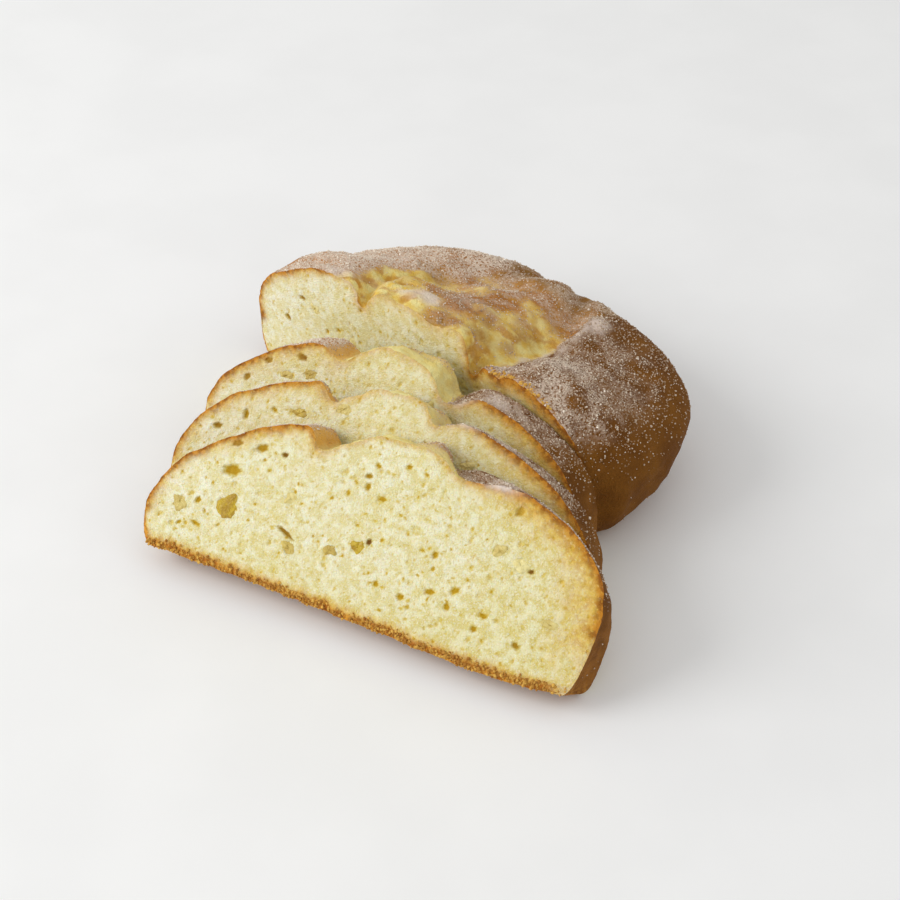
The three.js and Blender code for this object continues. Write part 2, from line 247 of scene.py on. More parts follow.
SWELLS = {
    "loaf": [
        (1, 6, 6, 5, 1.3), (-14, 19, 4, 6, 0.8), (8, 24, 7, 7, 0.9), (33, 50, 5, 4, 1.5),
        (-32, 10, 8, 6, 0.8), (-30, 26, 8, 7, 0.6), (19, 38, 5, 6, 0.6), (20, 1, 4, 5, 2.6),
        (31, 1, 3, 5, 2.4),
    ],
    "slice_front": [(10.5, 9, 6, 5, 1.7)],
    "slice_middle": [(11, 9, 4, 4, 0.7)],
}
BROWNED = {
    "loaf": [
        (-8, 40, 8, 7, 0.9), (2, 42, 9, 7, 1), (11, 48, 9, 7, 1), (-16, 42, 8, 7, 0.9),
        (3, 24, 8, 8, 1), (8, 33, 8, 8, 1), (-3, 16, 6, 6, 0.8), (8, 13, 6, 6, 0.9),
        (13, 4, 4, 4, 0.8), (15, 20, 5, 5, 0.7), (20, 8, 4, 3, 0.6), (25, 16, 3, 3, 0.5),
        (19, 30, 4, 5, 0.5), (24, 40, 4, 5, 0.5), (9.5, 3, 3.5, 3.5, 1), (6, 16, 9, 6, 1),
    ],
    "slice_front": [(10, 8, 6, 6, 1)],
    "slice_middle": [(10, 8, 4, 5, 0.7)],
    "slice_back": [(-4, 9, 7, 3, 0.8), (9, 10, 5, 3, 0.6)],
}
# Where the knife has torn the crust off the loaf's cut edge
LOAF_WEDGE = [(37, 0, 6, 3.2, 1), (46, 0, 7, 2.6, 1), (54, 0, 6, 2, 0.8)]

# The left edge of the loaf's torn dough, as along and u. The slices' is their left crease.
LOAF_LEFT_EDGE = ((0, -31), (6, -31), (19, -30), (26, -25), (33, -22), (40, -18), (50, -14))

# Between which heights each of these comes in, up the section
TORN_HEIGHT = (20, 30)
LOBE_SUGAR_HEIGHT = (22, 43)
LOBE_FROST_HEIGHT = (32, 44)
LOAF_LEFT_TOP = (20, 34)
SLICE_LEFT_TOP = (32, 40)
LEFT_SIDE_LIGHTER = (22, 38)
SLICE_LOBE_DARKER = (14, 30)
FOOT_HEIGHT = (1, 5)
# Between which u the left strand's top comes in
LEFT_TOP_START = (-62, -54)
# Between which places along the loaf its crown is frosted, brown all over, and dark like its end
CROWN_FROST_START = (12, 26)
CROWN_BROWN_START = (38, 50)
DARK_END_START = (46, 64)
# The lip of glaze along the loaf's right crease: how far from it, how wide, from where to where
LIP_OFFSET = 3.5
LIP_WIDTH = 2.2
LIP_START = (1, 8)
LIP_END = (44, 56)
# How white the powdered sugar is on the right lobe
LOAF_FILM = 0.85
SLICE_FILM = 0.5
# How pale a slice's torn dough is painted: its own cream, and painted light where slices shade it
SLICE_CREAM_AND_LIGHT = 0.8


def patches(u, along, spots):
    """How strong the strongest of these patches is at each place."""
    total = np.zeros(np.shape(u))
    for middle_u, middle_along, reach_u, reach_along, strength in spots:
        away = ((u - middle_u) / reach_u) ** 2 + ((along - middle_along) / reach_along) ** 2
        total = np.maximum(total, strength * np.exp(-away))
    return total


def crust_zones(name, places):
    """The three strands of dough, from 0 to 1, and the wavering of their edges and colours."""
    u, along, v = np.moveaxis(places, -1, 0)
    sizes = sizes_at(STANDS[name]["at"] + along)
    left_crease, right_crease = sizes[..., LEFT_CREASE], sizes[..., RIGHT_CREASE]
    if name == "loaf":
        left_crease = np.interp(along, *np.array(LOAF_LEFT_EDGE).T)
    waver = 1.6 * rough(places, 4, seed=1)
    left = 1 - ramp(u + waver, left_crease - 2, left_crease + 2)
    right = ramp(u + waver, right_crease - 1.5, right_crease + 3)
    centre = (1 - left) * (1 - right) * ramp(v, *TORN_HEIGHT)
    return SimpleNamespace(
        u=u, along=along, v=v, left_crease=left_crease, right_crease=right_crease, left=left,
        right=right, centre=centre, waver=waver, blotch=rough(places, 5, seed=2),
        side_v=v + 3 * rough(places, 7, seed=3))


def crust_patches(name, zone):
    """Where the crust is browned and glazed, its lip of glaze, and where it is torn off."""
    u, along, waver = zone.u, zone.along, zone.waver
    if name != "loaf":
        brown = patches(u + waver, along + 0.5 * waver, BROWNED[name])
        return brown, patches(u + waver, along, GLAZE[name]), *np.zeros((2, *np.shape(u)))
    brown = np.minimum(1.35 * patches(u + 0.8 * waver, along + waver, BROWNED[name]), 1)
    brown = np.maximum(brown, 0.9 * ramp(along + 0.25 * u, *CROWN_BROWN_START))
    middle = u + 0.7 * waver - zone.right_crease - LIP_OFFSET
    lip = np.exp(-(middle / LIP_WIDTH) ** 2) * ramp(along, *LIP_START)
    lip *= 1 - ramp(along, *LIP_END)
    glaze = patches(u + waver, along + waver, GLAZE[name])
    glaze = np.maximum(glaze, 0.8 * lip * ramp(zone.blotch, -0.7, 0.2))
    wedge = patches(u + waver, along + 0.5 * waver, LOAF_WEDGE)
    return brown, glaze, lip, wedge


def sugar_and_frost(name, zone, brown, wedge):
    """How densely grains of sugar lie on the crust, and how white powdered sugar makes it."""
    film = LOAF_FILM if name == "loaf" else SLICE_FILM
    sugar = zone.right * (0.03 + 0.97 * ramp(zone.side_v, *LOBE_SUGAR_HEIGHT))
    frost = film * zone.right * ramp(zone.side_v, *LOBE_FROST_HEIGHT)
    frost = frost * ramp(zone.blotch, -0.9, 0.4)
    left_top = zone.left * ramp(zone.u, *LEFT_TOP_START)
    patchy = ramp(zone.blotch, -0.7, 0.3)
    if name == "loaf":
        left_top = left_top * ramp(zone.v, *LOAF_LEFT_TOP)
        crown_sugar = zone.centre * (0.02 + 0.5 * brown)
        crown_frost = zone.centre * brown * (0.25 + 0.35 * ramp(zone.along, *CROWN_FROST_START))
    else:
        bare = 0.9 * ramp(zone.u, zone.left_crease - 8, zone.left_crease - 2)
        left_top = left_top * ramp(zone.v, *SLICE_LEFT_TOP) * (1 - bare)
        crown_sugar = 0.5 * zone.centre * brown
        crown_frost = 0.6 * zone.centre * brown
    sugar = (sugar + left_top + crown_sugar) * (1 - wedge)
    frost = frost + left_top * (0.5 + 0.6 * ramp(zone.blotch, -0.9, 0.1)) + crown_frost * patchy
    return sugar, frost


def darkness(name, zone, brown, wedge):
    """How dark the crust is baked."""
    left_dark = zone.left * (0.86 - 0.34 * ramp(zone.side_v, *LEFT_SIDE_LIGHTER))
    dark = left_dark + zone.centre * (0.15 + 0.4 * brown)
    if name == "loaf":
        end = ramp(zone.along, *DARK_END_START) * (1 - zone.right)
        dark = dark * (1 - end) + 0.9 * end + zone.right
    else:
        dark = dark + zone.right * (0.84 + 0.16 * ramp(zone.side_v, *SLICE_LOBE_DARKER))
        inner = ramp(zone.u, zone.left_crease - 9, zone.left_crease - 3)
        dark = dark - 0.4 * zone.left * inner
    dark = dark * (1 - 0.8 * wedge)
    return dark + 0.07 * zone.blotch - 0.1 * zone.right * ramp(zone.blotch, 0.3, 1.2)


def crust_fields(name, places):
    """How torn, brown, glazed, hollow and sugared the crust is at each place."""
    zone = crust_zones(name, places)
    brown, glaze, lip, wedge = crust_patches(name, zone)
    sugar, frost = sugar_and_frost(name, zone, brown, wedge)
    # A slice's torn dough is painted cream: its own paler colour, and painted light in the slices'
    # shade
    cream_and_painted_light = (0 if name == "loaf" else SLICE_CREAM_AND_LIGHT) * zone.centre * (1 - brown)
    low = 1 - ramp(zone.v, *FOOT_HEIGHT)
    glaze = glaze * ramp(rough(places, 2.4, seed=5) + 1.5 * glaze, 0.1, 0.7)
    return {"torn": zone.centre * (1 - brown), "wedge": wedge, "cream_and_painted_light": cream_and_painted_light,
            "dark": darkness(name, zone, brown, wedge).clip(0, 1), "glaze": glaze.clip(0, 1),
            "sugar": sugar.clip(0, 1) * (1 - low), "frost": frost.clip(0, 1), "low": low,
            "lip": lip, "lobe": zone.right,
            "hollow": patches(zone.u, zone.along, HOLLOWS.get(name, ())),
            "swell": patches(zone.u, zone.along, SWELLS.get(name, ()))}


# How high or deep each relief on the crust is
GRAIN_HEIGHT = 0.1
GLAZE_HEIGHT = 0.3
SUGARED_HEIGHT = 0.06
FOLD_HEIGHT = 0.8
TORN_GRAIN_HEIGHT = 0.28
LUMP_HEIGHT = 0.45
LOBE_LUMP_HEIGHT = 0.22
SWELL_HEIGHT = 1.2
LIP_HEIGHT = 0.8
WEDGE_HEIGHT = 0.7
HOLLOW_DEPTH = 1.4
CREAM_DEPTH = 1.1


def crust_relief(name, places, fields):
    """How far the crust's fine relief stands out, beyond what part.mjs has."""
    torn, lobe = fields["torn"], fields["lobe"]
    lift = ramp(places[..., 2], 0, 5)
    folds = 1 - 2 * np.abs(rough(places, (13, 5, 12), seed=8, octaves=2))
    relief = GRAIN_HEIGHT * rough(places, 2.6, seed=9) + GLAZE_HEIGHT * fields["glaze"]
    relief += SUGARED_HEIGHT * fields["sugar"] * rough(places, 0.9, seed=10, octaves=2)
    relief += torn * (FOLD_HEIGHT * folds + TORN_GRAIN_HEIGHT * rough(places, 2.6, seed=11))
    relief += (1 - lobe) * LUMP_HEIGHT * rough(places, 7, seed=13, octaves=2)
    lip = fields["lip"] * (LIP_HEIGHT + 0.3 * rough(places, 2, seed=14, octaves=2))
    relief += SWELL_HEIGHT * fields["swell"] + lip
    relief += LOBE_LUMP_HEIGHT * lobe * rough(places, 9, seed=12, octaves=2)
    relief -= HOLLOW_DEPTH * fields["hollow"]
    relief += WEDGE_HEIGHT * fields["wedge"] * rough(places, 1.7, seed=15)
    if name != "loaf":
        relief -= CREAM_DEPTH * fields["cream_and_painted_light"] * ramp(places[..., 1], 4, CUT_THICKNESS) ** 2
    return relief * lift


# What shows in the cut faces: u, v, long, wide, turn in degrees, and last how yellow a piece of
# peel is, or how much brown painted shade a hole gets

PEEL = {
    "slice_front": [
        (-44, 18, 6.3, 6.8, 20, 1), (-58.9, 14.8, 5, 4.4, 30, 0.5), (-25.7, 26.3, 3.6, 3.4, 0, 0.2),
        (-22.3, 12.8, 4.2, 3.6, 15, 0.7), (-10.2, 16.2, 3.6, 3, 20, 0.7),
        (-2.2, 19.6, 4.4, 3.4, 30, 1), (37.2, 31.4, 3.6, 3.2, 0, 0.45),
        (44, 29.3, 4.4, 3.8, -35, 0), (56, 17, 5.2, 2.4, -10, 0.35),
    ],
    "slice_middle": [
        (-27.8, 36.6, 5.4, 2.6, 18, 0.8), (-14.6, 41.8, 5, 3, 15, 0.4), (26, 38, 4.4, 3, 20, 0.3),
    ],
    "slice_back": [
        (-35.1, 29.5, 4.6, 2.6, 20, 0.6), (-27.3, 32.4, 5, 3, 15, 0.7), (14, 37, 3, 4.4, 20, 0.3),
    ],
    "loaf": [
        (-40.8, 31.5, 3.6, 3.2, 0, 0.1), (-24, 27, 3, 3.4, 0, 0.2), (22, 35, 3.4, 4, 30, 0.3),
    ],
}
HOLES = {
    "slice_front": [
        (-45.5, 28.4, 7, 3, 8, 0.15), (-46, 36.2, 3, 2, 20, 1), (-38.2, 37, 4.2, 2.4, 10, 0.3),
        (-30.8, 37.2, 1.8, 1.6, 0, 0.9), (-24.5, 16.6, 5.4, 1.6, -24, 0.6),
        (0.5, 21.9, 1.8, 1.6, 45, 1), (-53.4, 17.2, 2, 2.2, 0, 0.1),
        (-52.3, 10.6, 3.4, 1.6, -15, 0), (-4.7, 39.1, 2.2, 1.8, 20, 0.3),
        (-4.2, 36.2, 2, 2.2, 0, 0.1), (-2.7, 42.6, 2, 1.6, 0, 0), (5.9, 44.9, 2, 1.8, 0, 0),
        (0.8, 34.2, 2.8, 2, 20, 0), (5.6, 11.6, 2.2, 1.8, 0, 0), (13.7, 10.5, 2.8, 1.8, 0, 0),
        (21.3, 14.5, 3, 2.2, 10, 0), (28.2, 17.1, 3.4, 2, 30, 0), (27.1, 12.2, 2.4, 2, 0, 0),
        (37.6, 13.2, 2.6, 2, 0, 0), (20, 24.5, 2.2, 2, 0, 0), (36.2, 9.1, 2.4, 1.8, 0, 0.1),
        (39.8, 42.9, 2.8, 2.6, 0, 0.3), (47.2, 28.6, 1.6, 1.4, 0, 0.9),
        (48.7, 8.6, 3, 1.6, -30, 0.4),
    ],
    "slice_middle": [
        (-44.7, 31, 2, 2.8, 0, 0.2), (-53, 25, 3, 2, 30, 0.6), (-36, 35, 2.2, 1.8, 0, 0.1),
        (12, 40, 2, 1.6, 0, 0),
    ],
    "slice_back": [
        (-42.5, 31.6, 2.6, 2, 20, 1), (-31.2, 36.5, 4.2, 1.8, 5, 1), (-49, 24, 3, 1.8, 40, 0.7),
    ],
    "loaf": [
        (-46.5, 33.3, 3.4, 1.4, 10, 0.6), (-53.9, 22.5, 2.6, 2.2, 0, 0.5),
        (-30.6, 28.4, 2, 2, 0, 0), (-35.7, 25.5, 2, 1.8, 0, 0), (-20.2, 41, 1.6, 1.6, 0, 0.6),
        (9, 33, 2, 2, 0, 0),
    ],
}
PORES = {"loaf": 2600, "slice_front": 3600, "slice_middle": 2600, "slice_back": 2600}
# Half a pore's length: most are near the smallest, few are large
PORE_SMALLEST = 0.2
PORE_LARGEST = 0.85
PORE_RARITY = -0.31
PORE_ROUNDNESS = (0.55, 1)
PORE_DEPTH = (0.15, 0.5)  # as a share of that
SPOT_SHARE = 0.07  # the share of the pores that are shallow yellow spots
SPOT_HALF = (0.3, 0.75)
SPOT_DEPTH = 0.3  # as a share of a pore's
HOLE_DEPTH = 0.3  # as a share of a hole's width
BED_HALF = 0.43  # as a share of the length of the piece of peel that lies in it
BED_DEPTH = 0.7


def pore_list(name, rng):
    """A cut face's pores: u, v, half sizes both ways, turn, depth, yellow and brown painted shade.
    """
    sizes = sizes_at(STANDS[name]["at"])
    count = PORES[name]
    u = rng.uniform(-sizes[LEFT], sizes[RIGHT], count)
    v = rng.uniform(1, sizes[TOP], count)
    half = np.minimum(PORE_SMALLEST * rng.random(count) ** PORE_RARITY, PORE_LARGEST)
    roundness = rng.uniform(*PORE_ROUNDNESS, count)
    turn = rng.uniform(0, math.pi, count)
    depth = half * rng.uniform(*PORE_DEPTH, count)
    dark = rng.uniform(0.35, 1, count) * ramp(half, 0.12, 0.42)
    spots = np.arange(count) < SPOT_SHARE * count
    half = np.where(spots, rng.uniform(*SPOT_HALF, count), half)
    depth = np.where(spots, SPOT_DEPTH * depth, depth)
    dark = np.where(spots, rng.uniform(0.45, 1, count), dark)
    pores = np.stack([u, v, half, half * roundness, turn, depth, dark, np.zeros(count)], -1)
    holes = [(u, v, long / 2, wide / 2, math.radians(angle), HOLE_DEPTH * wide, 1, brown)
             for u, v, long, wide, angle, brown in HOLES[name]]
    beds = [(u, v, BED_HALF * long, BED_HALF * wide, math.radians(angle), BED_DEPTH,
             0.2 + 0.5 * yellow, 0)
            for u, v, long, wide, angle, yellow in PEEL[name]]
    return np.concatenate([pores, np.array(holes), np.array(beds)])


PORE_REACH = 1.5  # how far a pore's ragged edge may go, as a share of its half length
COLUMN_SLACK = 0.5  # and how far a column of the grid may lean


def dent(face, pores):
    """How deep the pores cut into a grid of (u, v) points, their yellow and brown painted shade."""
    depth, yellow, brown = np.zeros((3, *face.shape[:2]))
    middles = face[:, face.shape[1] // 2, 0]
    for u, v, half, wide, turn, drop, pore_yellow, pore_shade in pores:
        reach = PORE_REACH * half + COLUMN_SLACK
        start, end = np.searchsorted(middles, (u - reach, u + reach))
        if end <= start:
            continue
        du, dv = face[start:end, :, 0] - u, face[start:end, :, 1] - v
        x = (du * math.cos(turn) + dv * math.sin(turn)) / half
        y = (dv * math.cos(turn) - du * math.sin(turn)) / wide
        angle = np.arctan2(y, x)
        ragged = 0.14 * np.sin(2 * angle + 7 * u) + 0.1 * np.sin(5 * angle + 9 * v)
        away = np.hypot(x, y) * (1 + ragged + 0.05 * np.sin(11 * angle + 5 * u))
        bowl = np.sqrt(np.clip(1 - away ** 2, 0, 1))
        depth[start:end] = np.maximum(depth[start:end], drop * bowl)
        inside = ramp(away, 1.25, 0.55)
        yellow[start:end] = np.maximum(yellow[start:end], pore_yellow * inside)
        brown[start:end] = np.maximum(brown[start:end], pore_shade * inside)
    return depth, yellow, brown


def rim_distance(face, top):
    """How far each point of a cut face is from the crust over it."""
    tree = KDTree(len(top))
    for index, point in enumerate(top):
        tree.insert((*point, 0), index)
    tree.balance()
    away = [tree.find((*point, 0))[2] for point in face.reshape(-1, 2)]
    return np.reshape(away, face.shape[:2])


# How far the golden rim reaches into a cut face, in millimetres, at some u
RIM_REACH = {
    "slice_front": ((-70, 2.2), (-50, 2.4), (-30, 2.8), (-22, 3.4), (-14, 1.4), (0, 1.2),
                    (20, 1.6), (30, 3), (45, 6), (58, 9), (68, 11)),
    "slice_middle": ((-65, 2.6), (-40, 2.8), (-20, 3), (-10, 1.4), (10, 1.2), (25, 2.4),
                     (40, 4.4), (68, 6)),
    "slice_back": ((-62, 2.6), (-40, 3), (-20, 3.4), (-8, 1.4), (12, 1.6), (25, 3.4),
                   (40, 4.6), (68, 6)),
    "loaf": ((-68, 2), (-45, 2.2), (-26, 1.8), (-18, 2.4), (0, 2.6), (14, 4), (26, 5.5),
             (40, 5), (70, 5)),
}
# The baked edge's thickness, and how much more it is to the right, and there on the loaf
RIM_THICKNESS = 1.4
RIM_RIGHT_EXTRA = 0.7
RIM_LOAF_EXTRA = 1.6
# Between which u the rim stops being baked on the left, and starts again on the right
LOAF_BAKED = (-38, -28, 18, 27)
SLICE_BAKED = (-27, -18, 16, 30)
BOTTOM_BAND = 2.6  # the height of the baked band over a cut face's bottom edge
BAND_RIGHT_END = (58, 66)
# Where glaze runs over a cut face's edge: u, 0, its reach along the edge and into the face
DRIPS = {
    "slice_front": [(33, 0, 4.5, 1.5, 1)], "slice_middle": [(22, 0, 4, 0.8, 0.7)],
    "slice_back": [(23, 0, 4, 1, 0.8)], "loaf": [(-24, 0, 3, 0.8, 0.7)],
}


def face_fields(name, face, top, low):
    """The crumb's colours: golden towards the crust, brown at its very edge and at the base."""
    u, v = face[..., 0], face[..., 1]
    away = rim_distance(face, top)
    places = np.insert(face, 1, STANDS[name]["at"], -1)
    reach = np.interp(u, *np.array(RIM_REACH[name]).T)
    golden = np.exp(-(away / (reach * (1 + 0.35 * rough(places, 4, seed=20)))) ** 1.5)
    ends = LOAF_BAKED if name == "loaf" else SLICE_BAKED
    baked = np.maximum(1 - 0.85 * ramp(u, *ends[:2]), ramp(u, *ends[2:]))
    thick = RIM_THICKNESS + RIM_RIGHT_EXTRA * ramp(u, 26, 40)
    thick = thick + 0.8 * rough(places, 3.5, seed=21, octaves=2)
    if name == "loaf":
        thick = thick + RIM_LOAF_EXTRA * ramp(u, 28, 36)
    edge = (0.1 + 0.9 * baked) * np.exp(-(away / np.maximum(thick, 0.3)) ** 2)
    golden = golden * (0.45 + 0.55 * baked)
    height = v - low[:, None, 1]
    band = BOTTOM_BAND * (1 + 0.26 * rough(places, 3.2, seed=22))
    right_end = 1 - 0.8 * ramp(u, *BAND_RIGHT_END)
    bottom = (1 - ramp(height, band - 1.4, band + 0.5)) * right_end
    golden = np.maximum(golden, 0.75 * right_end * (1 - ramp(height, band - 0.5, band + 2.4)))
    warm = 0.45 * ramp(u, -66, -20) + 0.55 * ramp(u, 5, 60)
    warm = warm + 0.25 * rough(places, 14, seed=23, octaves=2) + 0.4 * ramp(v, 18, 6)
    broken = ramp(rough(places, 2, seed=24, octaves=2), -1.2, 0.2)
    glaze = patches(u, away, DRIPS[name]) * broken
    return {"golden": golden, "edge": edge, "bottom": bottom, "warm": warm.clip(0, 1),
            "glaze": glaze}


# Skins

def triangles(ids):
    """Two triangles for each cell of a grid of vertex numbers, but none without an area."""
    a, b, c, d = ids[:-1, :-1], ids[1:, :-1], ids[1:, 1:], ids[:-1, 1:]
    faces = np.concatenate([np.stack([a, b, c], -1).reshape(-1, 3),
                            np.stack([a, c, d], -1).reshape(-1, 3)])
    return faces[(faces != np.roll(faces, 1, 1)).all(1)]


def face_grid(loop_ids, columns, rows, first):
    """Vertex numbers of a cut face, whose border is a ring's. New ones count up from first."""
    ids = np.zeros((columns + 1, rows + 1), int)
    ids[:, 0] = loop_ids[:columns + 1]
    ids[1:-1, -1] = loop_ids[:columns:-1]
    ids[0], ids[-1] = loop_ids[0], loop_ids[columns]
    inner = np.arange((columns - 1) * (rows - 1)).reshape(columns - 1, rows - 1)
    ids[1:-1, 1:-1] = first + inner
    return ids


EDGE_SET_BACK = 0.22  # how far a cut face's edge lies behind its plane, on average


def crust_places(name):
    """Rings of places over the crust, with all its relief, and what lies where on it."""
    columns, ring_count = DETAIL[name][:2]
    steps = np.linspace(0, 1, ring_count + 1)
    if name == "loaf":
        alongs = LOAF_LENGTH * np.sin(steps[:-1] * math.pi / 2)
    else:
        alongs = CUT_THICKNESS * steps
    rings = np.array([ring(name, along, columns) for along in alongs])
    around = np.roll(rings, -1, 1) - np.roll(rings, 1, 1)
    normals = np.cross(np.gradient(rings, axis=0), around)
    ends = [0] if name == "loaf" else [0, -1]
    normals[ends, :, 1] = 0
    normals /= np.linalg.norm(normals, axis=-1, keepdims=True) + 1e-9
    fields = crust_fields(name, rings)
    rings = rings + normals * crust_relief(name, rings, fields)[..., None]
    set_back = EDGE_SET_BACK * (1 + rough(rings[ends], 1.1, seed=30, octaves=2))
    rings[ends, :, 1] += set_back * (1 if name == "loaf" else np.array([[1], [-1]]))
    return rings, fields


# How high or deep each relief in a cut face is
CRUMB_GRAIN = 0.08
CRUMB_WAVES = 0.16
BOTTOM_CRAGS = 0.45
CRUMB_DEPTH = 0.1
BORDER_DEPTH = 0.25
FACE_PROUD = 0.3  # no more than this in front of the cut's plane


def cut_face(name, loop, rows, rng):
    """The points inside a cut face and their fields. The loop is its border."""
    columns = DETAIL[name][0]
    low = loop[:columns + 1][:, [0, 2]]
    top = np.concatenate([loop[:1], loop[:columns:-1], loop[columns:columns + 1]])[:, [0, 2]]
    t = np.linspace(0, 1, rows + 1)[None, :, None]
    face = low[:, None] * (1 - t) + top[:, None] * t
    fields = face_fields(name, face, top, low)
    # The pores' yellow, and the brown painted shade of the darkest holes, kept as deep
    depth, fields["pore"], fields["deep"] = dent(face, pore_list(name, rng))
    places = np.insert(face, 1, STANDS[name]["at"], -1)
    border = ramp(rim_distance(face, np.concatenate([low, top])), 0.1, 1.2)
    fine = (CRUMB_GRAIN * rough(places, 1.5, seed=40, octaves=2)
            + CRUMB_WAVES * rough(places, 5, seed=41, octaves=2))
    craggy = BOTTOM_CRAGS * fields["bottom"] * rough(places, 1.3, seed=42)
    sink = border * (depth + fine + CRUMB_DEPTH) + border * craggy + BORDER_DEPTH * (1 - border)
    return np.stack([face[..., 0], np.maximum(sink, -FACE_PROUD), face[..., 1]], -1), fields


# What the materials, the sugar and the crumbs go by
FIELD_NAMES = ("torn", "wedge", "cream_and_painted_light", "dark", "glaze", "hollow", "sugar", "low", "frost",
               "golden", "edge", "bottom", "warm", "pore", "deep")
SHARP_ANGLE = math.radians(70)


def build_skin(name, rng):
    """All of a piece's skin: places, triangles, whether each is crumb, and fields."""
    columns, _, face_rows, back_rows = DETAIL[name]
    rings, crust = crust_places(name)
    count, around = rings.shape[:2]
    ids = np.arange(count * around).reshape(count, around)
    places = [rings.reshape(-1, 3)]
    fields = {key: [crust.get(key, np.zeros(ids.shape)).ravel()] for key in FIELD_NAMES}
    band = triangles(np.concatenate([ids, ids[:, :1]], 1))
    faces, crumb = [band], [np.zeros(len(band), bool)]
    ends = [(0, face_rows, 1)]
    if name != "loaf":
        ends.append((-1, back_rows, -1))
    total = count * around
    for end, rows, way in ends:
        face, at_face = cut_face(name, rings[end], rows, rng)
        if way < 0:
            face[..., 1] = CUT_THICKNESS - face[..., 1]
        grid = face_grid(ids[end], columns, rows, total)
        places.append(face[1:-1, 1:-1].reshape(-1, 3))
        for key in FIELD_NAMES:
            value = at_face.get(key, np.zeros(grid.shape))
            fields[key].append(value[1:-1, 1:-1].ravel())
            if key in at_face:
                fields[key][0][grid[:, 0]] = value[:, 0]
                fields[key][0][grid[:, -1]] = value[:, -1]
        cells = triangles(grid)
        faces.append(cells if way > 0 else cells[:, ::-1])
        crumb.append(np.ones(len(cells), bool))
        total += len(places[-1])
    if name == "loaf":
        places.append([[0, LOAF_LENGTH, belt_height(LOAF_START + LOAF_LENGTH)]])
        for key in FIELD_NAMES:
            fields[key].append(fields[key][0][-1:])
        faces.append(np.stack([ids[-1], np.full(around, total), np.roll(ids[-1], -1)], -1))
        crumb.append(np.zeros(around, bool))
    return {"places": np.concatenate(places), "faces": np.concatenate(faces),
            "crumb": np.concatenate(crumb),
            "fields": {key: np.concatenate(value) for key, value in fields.items()}}


def stand_up(name, places):
    """Places on a piece, as points of the frame in metres."""
    stand = STANDS[name]
    behind = 0 if name == "loaf" else CUT_THICKNESS
    matrix = (Matrix.Translation((*(np.add(stand["foot"], ORIGIN_SHIFT)), 0))
              @ Matrix.Rotation(math.radians(stand["yaw"]), 4, "Z")
              @ Matrix.Rotation(math.radians(-stand["lean"]), 4, "X")
              @ Matrix.Translation((0, -behind, 0)))
    turn = np.array(matrix.to_3x3())
    return (places @ turn.T + np.array(matrix.translation)) * MM


def make_object(name, points, faces, materials, material_index=None, fields=None, smooth=True):
    mesh = bpy.data.meshes.new(name)
    mesh.from_pydata(points, [], faces)
    for key, values in (fields or {}).items():
        mesh.attributes.new(key, "FLOAT", "POINT").data.foreach_set("value", values)
    for material in materials:
        mesh.materials.append(material)
    if material_index is not None:
        mesh.polygons.foreach_set("material_index", material_index)
    if smooth:
        mesh.shade_smooth()
        mesh.set_sharp_from_angle(angle=SHARP_ANGLE)
    else:
        mesh.shade_flat()
    mesh.update()
    piece = bpy.data.objects.new(name, mesh)
    bpy.context.scene.collection.objects.link(piece)
    return piece


# Materials

def colour(*channels):
    """A colour named by its sRGB bytes."""
    c = np.array(channels) / 255
    return (*np.where(c <= 0.04045, c / 12.92, ((c + 0.055) / 1.055) ** 2.4), 1)


SCATTER_COLOUR = (1.0, 0.7, 0.35)  # how far red, green and blue light go in the crumb
SCATTER_DEPTH = 1.5 * MM


class Finish:
    """A material and the nodes that it is made of."""

    def __init__(self, name, roughness, specular, subsurface=0.0):
        self.material = bpy.data.materials.new(name)
        self.material.use_nodes = True
        self.tree = self.material.node_tree
        self.shader = self.tree.nodes["Principled BSDF"]
        self.fill(self.shader, {
            "Roughness": roughness, "Specular IOR Level": specular,
            "Subsurface Weight": subsurface, "Subsurface Radius": SCATTER_COLOUR,
            "Subsurface Scale": SCATTER_DEPTH})
        self.place = self.node("ShaderNodeTexCoord", {}).outputs["Object"]

    def fill(self, node, inputs):
        """Puts a socket or a value at each of these inputs."""
        for key, value in inputs.items():
            if isinstance(value, bpy.types.NodeSocket):
                self.tree.links.new(value, node.inputs[key])
            else:
                node.inputs[key].default_value = value

    def node(self, kind, inputs, **settings):
        node = self.tree.nodes.new(kind)
        for key, value in settings.items():
            setattr(node, key, value)
        self.fill(node, inputs)
        return node

    def field(self, name):
        return self.node("ShaderNodeAttribute", {}, attribute_name=name).outputs["Fac"]

    def grain(self, size, low=0.35, high=0.65, detail=3):
        """Noise with lumps of this size in millimetres, spread over 0 to 1."""
        texture = self.node("ShaderNodeTexNoise", {
            "Vector": self.place, "Scale": 1 / (size * MM), "Detail": detail})
        return self.step(texture.outputs["Fac"], low, high)

    def cells(self, size, low, high):
        """Small round dots this far apart, 1 in their middles."""
        texture = self.node("ShaderNodeTexVoronoi", {
            "Vector": self.place, "Scale": 1 / (size * MM)})
        return self.step(texture.outputs["Distance"], high, low)

    def step(self, value, low, high):
        inputs = {"Value": value, "From Min": low, "From Max": high}
        node = self.node("ShaderNodeMapRange", inputs, interpolation_type="SMOOTHSTEP")
        return node.outputs["Result"]

    def math(self, operation, a, b):
        node = self.node("ShaderNodeMath", {0: a, 1: b}, operation=operation, use_clamp=True)
        return node.outputs[0]

    def times(self, a, b):
        return self.math("MULTIPLY", a, b)

    def mix(self, factor, *paints):
        """A blend of two paints, each a socket or a colour as sRGB bytes."""
        a, b = (colour(*paint) if isinstance(paint, tuple) else paint for paint in paints)
        return self.node("ShaderNodeMix", {0: factor, 6: a, 7: b}, data_type="RGBA").outputs[2]

    def cover(self, under, mask, share, over):
        """One paint over another, with this share where the mask is full."""
        return self.mix(self.times(mask, share), under, over)

    def bump(self, height, distance):
        node = self.node("ShaderNodeBump", {"Distance": distance * MM, "Height": height})
        self.fill(self.shader, {"Normal": node.outputs["Normal"]})

    def paint(self, value):
        self.fill(self.shader, {"Base Color": value})
        return self.material


